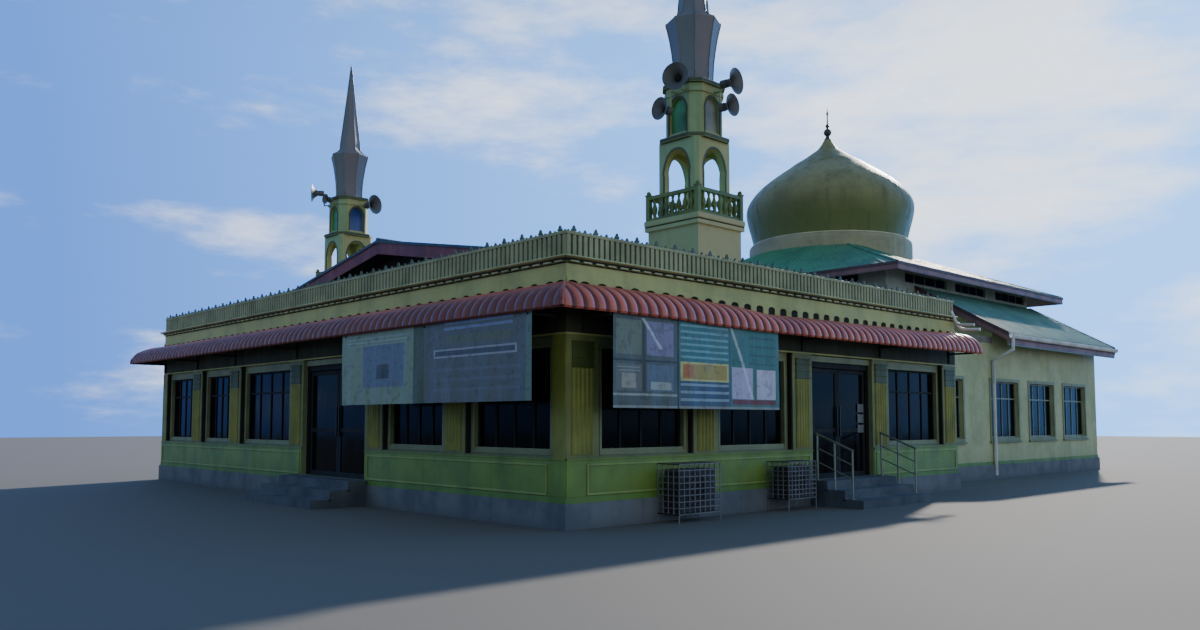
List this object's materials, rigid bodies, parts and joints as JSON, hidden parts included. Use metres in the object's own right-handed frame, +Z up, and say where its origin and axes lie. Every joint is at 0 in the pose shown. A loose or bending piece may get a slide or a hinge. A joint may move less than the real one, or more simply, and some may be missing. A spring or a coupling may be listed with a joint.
{
  "type": "mosque building",
  "caption": "Low mosque building with a bull-nose canopy, pointed picket cresting, twin roof minarets, ribbed metal roofs, a clerestory and an onion dome on a drum.",
  "frame": {"origin": "on the ground under the building, on its long axis of symmetry, 12.5 m behind the entrance facade", "axes": "+X from the entrance front towards the rear, +Y towards the left side seen from the front's outside facing in, +Z up"},
  "size_m": [27.09, 18.89, 13.12],
  "materials": {
    "plinth_paint": "blue-grey painted render",
    "floor_tile": "glazed tile",
    "step_concrete": "trowelled cement",
    "steel_tube": "satin",
    "wall_paint": "olive yellow and apple green masonry paint",
    "window_glass": "dark tinted",
    "fascia_paint": "yellow-green masonry paint",
    "canopy_sheet": "satin maroon tile-profile sheet",
    "frame_metal": "powder coated",
    "door_glass": "dark tinted in a metal frame",
    "inner_plaster": "plain plaster",
    "deck_screed": "weathered screed",
    "maroon_sheet": "weathered",
    "hall_plaster": "painted plaster",
    "teal_sheet": "tile-profile sheet",
    "fascia_board": "brown painted board",
    "drum_plaster": "cream paint",
    "dome_skin": "satin pale gold",
    "finial_metal": "weathered",
    "minaret_plaster": "painted plaster",
    "balustrade_paint": "green paint",
    "spire_metal": "grey-blue seamed sheet",
    "speaker_metal": "pale grey",
    "cage_metal": "pale paint",
    "banner_cloth": "printed vinyl cloth"
  },
  "bodies": {
    "building": {"plinth": "plinth_paint", "floor_slab": "floor_tile", "side_steps": "step_concrete", "front_steps": "step_concrete", "side_handrail_front": "steel_tube", "side_handrail_rear": "steel_tube", "right_wall_front": "wall_paint", "right_wall_rear": "wall_paint", "left_wall": "wall_paint", "front_wall_right": "wall_paint", "front_wall_left": "wall_paint", "glass_front_right": "window_glass", "glass_front_left": "window_glass", "glass_right_rear": "window_glass", "glass_hall": "window_glass", "parapet_right": "fascia_paint", "parapet_left": "fascia_paint", "parapet_front": "fascia_paint", "canopy_right": "canopy_sheet", "canopy_left": "canopy_sheet", "canopy_front": "canopy_sheet", "side_door_frame": "frame_metal", "front_door_frame": "frame_metal", "cross_frame_1": "inner_plaster", "cross_frame_2": "inner_plaster", "cross_frame_3": "inner_plaster", "roof_deck": "deck_screed", "front_gable_roof": "maroon_sheet", "hall_wall_right": "hall_plaster", "hall_wall_left": "hall_plaster", "hall_wall_rear": "hall_plaster", "hall_ring_beam": "inner_plaster", "clerestory": "hall_plaster", "lean_to_roof_right": "teal_sheet", "lean_to_roof_left": "teal_sheet", "upper_roof": "teal_sheet", "upper_fascia": "fascia_board", "drum": "drum_plaster", "dome": "dome_skin", "finial": "finial_metal", "condenser_cage_front": "cage_metal", "condenser_cage_rear": "cage_metal", "banner_side": "banner_cloth", "banner_front": "banner_cloth", "minaret_right_base": "minaret_plaster", "minaret_right_balustrade": "balustrade_paint", "minaret_right_arches": "minaret_plaster", "minaret_right_lantern": "minaret_plaster", "minaret_right_spire": "spire_metal", "minaret_right_loudspeakers": "speaker_metal", "minaret_left_base": "minaret_plaster", "minaret_left_balustrade": "balustrade_paint", "minaret_left_arches": "minaret_plaster", "minaret_left_lantern": "minaret_plaster", "minaret_left_spire": "spire_metal", "minaret_left_loudspeakers": "speaker_metal"},
    "side_leaf_a": {"side_door_leaf_a": "door_glass"},
    "side_leaf_b": {"side_door_leaf_b": "door_glass"},
    "front_leaf_a": {"front_door_leaf_a": "door_glass"},
    "front_leaf_b": {"front_door_leaf_b": "door_glass"}
  },
  "joints": [
    {"name": "side_leaf_a_hinge", "type": "hinge", "parent": "building", "child": "side_leaf_a", "pos_m": [-6.07, -8.34, 1.5], "axis": [0, 0, 1], "range_deg": [0, 90]},
    {"name": "side_leaf_b_hinge", "type": "hinge", "parent": "building", "child": "side_leaf_b", "pos_m": [-4.08, -8.34, 1.5], "axis": [0, 0, -1], "range_deg": [0, 90]},
    {"name": "front_leaf_a_hinge", "type": "hinge", "parent": "building", "child": "front_leaf_a", "pos_m": [-12.34, -2.54, 1.5], "axis": [0, 0, -1], "range_deg": [0, 90]},
    {"name": "front_leaf_b_hinge", "type": "hinge", "parent": "building", "child": "front_leaf_b", "pos_m": [-12.34, -0.13, 1.5], "axis": [0, 0, 1], "range_deg": [0, 90]}
  ]
}
